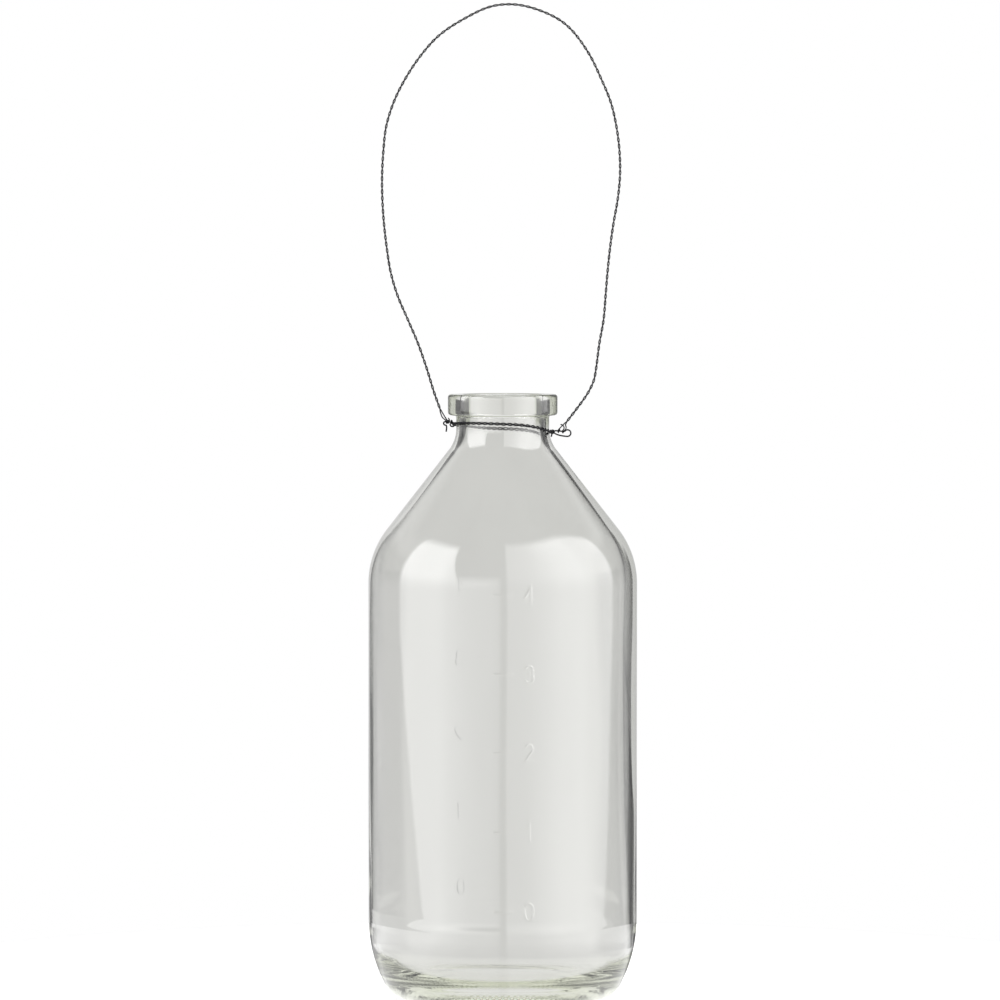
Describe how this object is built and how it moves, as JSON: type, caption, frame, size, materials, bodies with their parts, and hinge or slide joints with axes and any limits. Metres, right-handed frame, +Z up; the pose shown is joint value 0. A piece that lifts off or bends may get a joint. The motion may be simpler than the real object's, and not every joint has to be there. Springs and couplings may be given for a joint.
{
  "type": "bottle vase",
  "caption": "Clear glass bottle vase with a banded rim, a twisted-wire collar round its neck and a tall hand-bent twisted-wire bail that swings on the collar's eyes.",
  "frame": {"origin": "centre of the bottle's foot, on the surface it stands on", "axes": "+Z up along the bottle's axis, -Y towards the viewer of the front, +X to the viewer's right; the bail lies in the XZ plane"},
  "size_m": [0.078, 0.078, 0.2901],
  "materials": {
    "glass": "clear moulded glass, glossy, faintly wavy",
    "wire": "dark annealed wire, dull"
  },
  "bodies": {
    "bottle": {"glass_bottle": "glass"},
    "collar": {"collar_strand_1": "wire", "collar_strand_2": "wire"},
    "bail": {"bail_strand_1": "wire", "bail_strand_2": "wire"}
  },
  "joints": [
    {"name": "collar_turn", "type": "hinge", "parent": "bottle", "child": "collar", "pos_m": [0, 0, 0.16785], "axis": [0, 0, 1], "continuous": true},
    {"name": "bail_swing", "type": "hinge", "parent": "collar", "child": "bail", "pos_m": [-0.01434, 0, 0.16885], "axis": [0.9966, 0, -0.0823], "range_deg": [-130, 130]}
  ]
}
